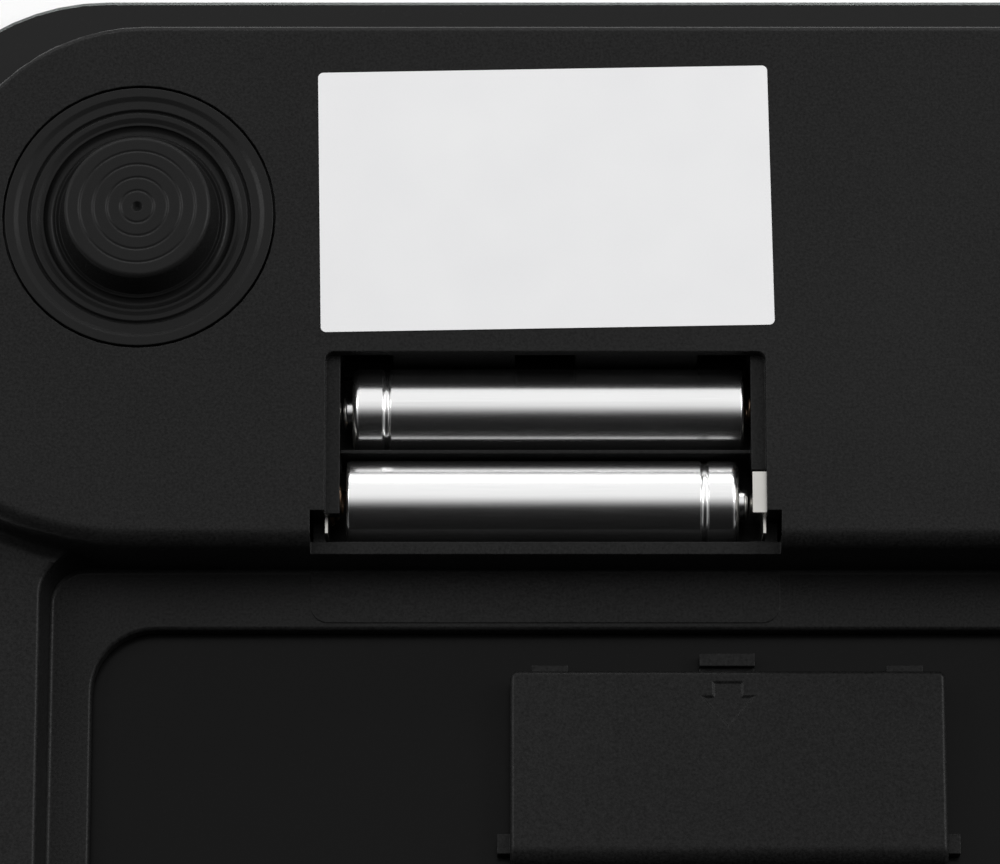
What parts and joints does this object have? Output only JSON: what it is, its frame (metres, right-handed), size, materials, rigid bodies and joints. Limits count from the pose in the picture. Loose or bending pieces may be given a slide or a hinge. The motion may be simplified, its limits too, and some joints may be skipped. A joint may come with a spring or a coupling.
{
  "type": "digital bathroom scale",
  "caption": "Digital bathroom scale turned underside up: glass platform on a black base with ridged feet, blank sticker, open battery bay with cells, and its door lying in the recess.",
  "frame": {"origin": "centre of the glass platform's walking face, which is the lowest plane here because the scale lies on it, underside up, as pictured", "axes": "+Z out of the underside, so the feet point up; +Y towards the display end; +X to the right as seen from above the underside. Turned half a turn about X it stands on its feet"},
  "size_m": [0.3, 0.3, 0.0225],
  "materials": {
    "clear_glass": "polished tempered float glass with bevelled edges",
    "black_print": "baked black screen print",
    "foam_tape": "double-sided foam tape",
    "black_plastic": "black moulded plastic with a fine spark texture",
    "white_sticker": "matt white film, bare",
    "black_rubber": "soft black moulded rubber",
    "sensor_steel": "stamped spring steel",
    "gauge_film": "polyimide film under clear varnish",
    "white_plastic": "white moulded plastic",
    "grey_insulation": "flexible sheath",
    "red_insulation": "flexible insulation",
    "black_insulation": "flexible insulation",
    "green_board": "glass-fibre board with solder mask",
    "zinc_steel": "zinc-plated steel",
    "display_glass": "liquid crystal glass with polariser",
    "grey_rubber": "layered elastomer",
    "black_resin": "moulded resin",
    "aluminium_can": "bare can",
    "nickel_plate": "nickel-plated spring steel",
    "bronze_wire": "phosphor bronze wire",
    "bright_can": null
  },
  "bodies": {
    "base": {"adhesive_tape": "foam_tape", "back_print": "black_print", "base_housing": "black_plastic", "battery_lead_negative": "black_insulation", "battery_lead_positive": "red_insulation", "blank_label": "white_sticker", "board_screws": "zinc_steel", "cable_sockets": "white_plastic", "capacitors": "aluminium_can", "circuit_board": "green_board", "contact_bridge": "nickel_plate", "contact_negative": "nickel_plate", "contact_positive": "nickel_plate", "controller_chip": "black_resin", "glass_platform": "clear_glass", "lcd_holder": "white_plastic", "lcd_panel": "display_glass", "load_sensor_heel_left": "sensor_steel", "load_sensor_heel_right": "sensor_steel", "load_sensor_toe_left": "sensor_steel", "load_sensor_toe_right": "sensor_steel", "sensor_cable_heel_left": "grey_insulation", "sensor_cable_heel_right": "grey_insulation", "sensor_cable_toe_left": "grey_insulation", "sensor_cable_toe_right": "grey_insulation", "sensor_seat_heel_left": "white_plastic", "sensor_seat_heel_right": "white_plastic", "sensor_seat_toe_left": "white_plastic", "sensor_seat_toe_right": "white_plastic", "spring_left": "bronze_wire", "spring_right": "bronze_wire", "strain_gauge_heel_left": "gauge_film", "strain_gauge_heel_right": "gauge_film", "strain_gauge_toe_left": "gauge_film", "strain_gauge_toe_right": "gauge_film", "zebra_strip": "grey_rubber"},
    "foot_toe_left": {"foot_toe_left": "black_rubber"},
    "foot_toe_right": {"foot_toe_right": "black_rubber"},
    "foot_heel_left": {"foot_heel_left": "black_rubber"},
    "foot_heel_right": {"foot_heel_right": "black_rubber"},
    "upper_cell": {"upper_cell_can": "bright_can", "upper_cell_cap": "bright_can", "upper_cell_seal": "black_resin"},
    "lower_cell": {"lower_cell_can": "bright_can", "lower_cell_cap": "bright_can", "lower_cell_seal": "black_resin"},
    "battery_door": {"battery_door": "black_plastic"},
    "door_latch": {"door_latch": "black_plastic"}
  },
  "joints": [
    {"name": "foot_toe_left_press", "type": "slide", "parent": "base", "child": "foot_toe_left", "axis": [0, 0, -1], "range_m": [0, 0.0005], "stiffness_N_per_m": 20000},
    {"name": "foot_toe_right_press", "type": "slide", "parent": "base", "child": "foot_toe_right", "axis": [0, 0, -1], "range_m": [0, 0.0005], "stiffness_N_per_m": 20000},
    {"name": "foot_heel_left_press", "type": "slide", "parent": "base", "child": "foot_heel_left", "axis": [0, 0, -1], "range_m": [0, 0.0005], "stiffness_N_per_m": 20000},
    {"name": "foot_heel_right_press", "type": "slide", "parent": "base", "child": "foot_heel_right", "axis": [0, 0, -1], "range_m": [0, 0.0005], "stiffness_N_per_m": 20000},
    {"name": "upper_cell_lift", "type": "slide", "parent": "base", "child": "upper_cell", "axis": [0, 0, 1], "range_m": [0, 0.03]},
    {"name": "lower_cell_lift", "type": "slide", "parent": "base", "child": "lower_cell", "axis": [0, 0, 1], "range_m": [0, 0.03]},
    {"name": "door_lift", "type": "slide", "parent": "base", "child": "battery_door", "axis": [0, 0, 1], "range_m": [0, 0.06]},
    {"name": "latch_flex", "type": "hinge", "parent": "battery_door", "child": "door_latch", "pos_m": [-0.0551, 0.07053, 0.00555], "axis": [1, 0, 0], "range_deg": [0, 12], "stiffness_Nm_per_rad": 0.005}
  ]
}
